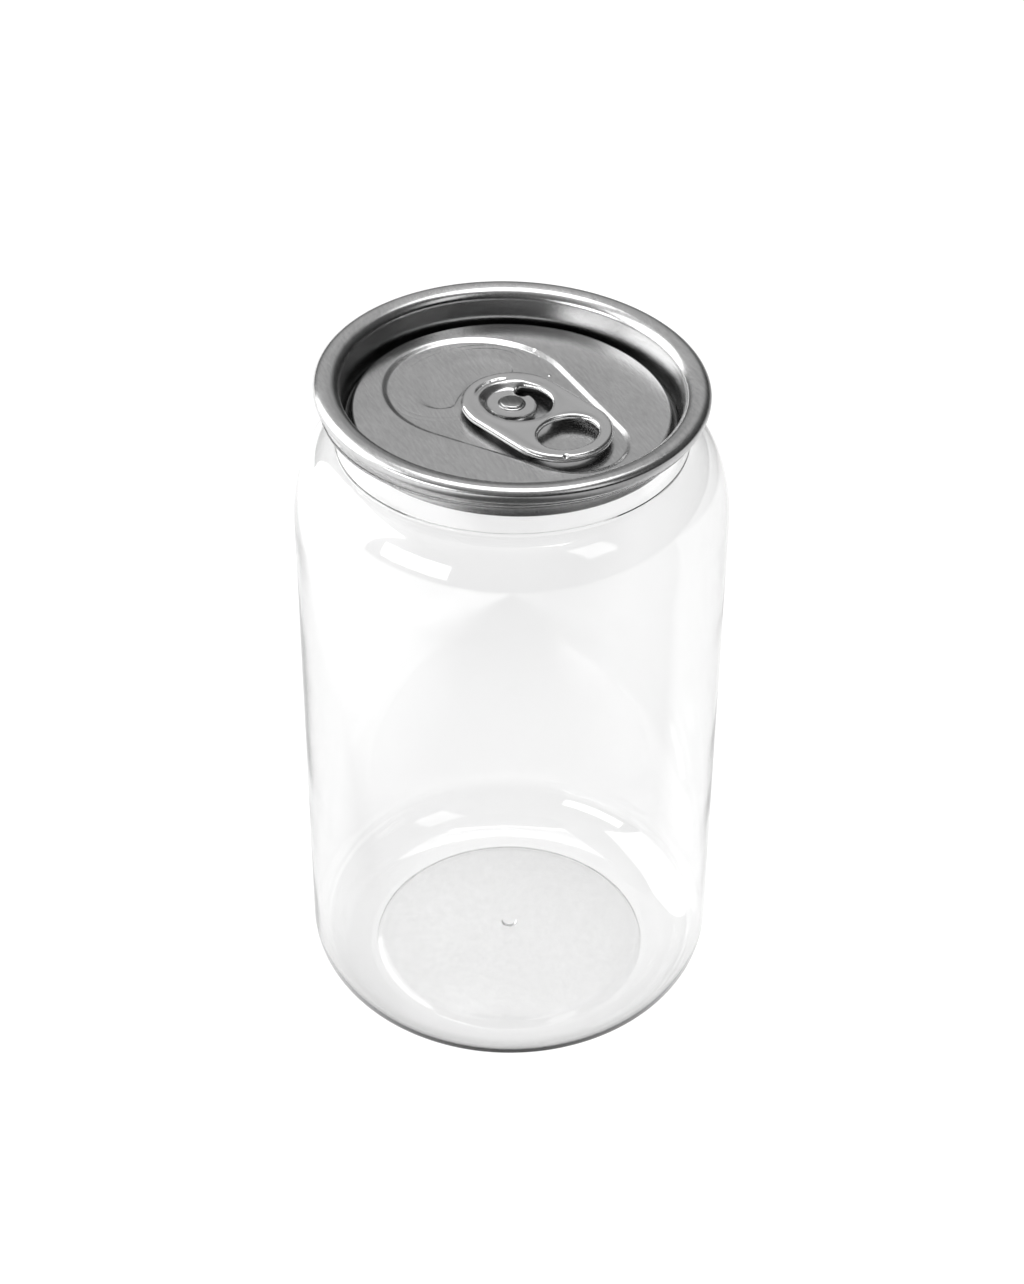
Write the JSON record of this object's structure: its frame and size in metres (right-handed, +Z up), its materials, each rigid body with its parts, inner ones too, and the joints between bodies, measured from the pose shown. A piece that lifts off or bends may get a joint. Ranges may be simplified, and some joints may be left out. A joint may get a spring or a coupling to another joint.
{
  "type": "clear plastic drinks can",
  "caption": "Empty clear plastic drinks can with a domed base and necked flange, closed by a loosely resting aluminium easy-open end with a stay-on tab.",
  "frame": {"origin": "centre of the standing ring, on the surface the can stands on", "axes": "+Z up the can's axis; -Y is the side that faces the viewer, with the tab's heel towards +X and -Y"},
  "size_m": [0.0668, 0.0668, 0.1138],
  "materials": {
    "clear_pet": "clear, glossy",
    "end_aluminium": "satin, fine rolling grain",
    "tab_aluminium": "satin"
  },
  "bodies": {
    "root": {"can_body": "clear_pet", "can_end": "end_aluminium", "tab": "tab_aluminium"}
  },
  "joints": []
}
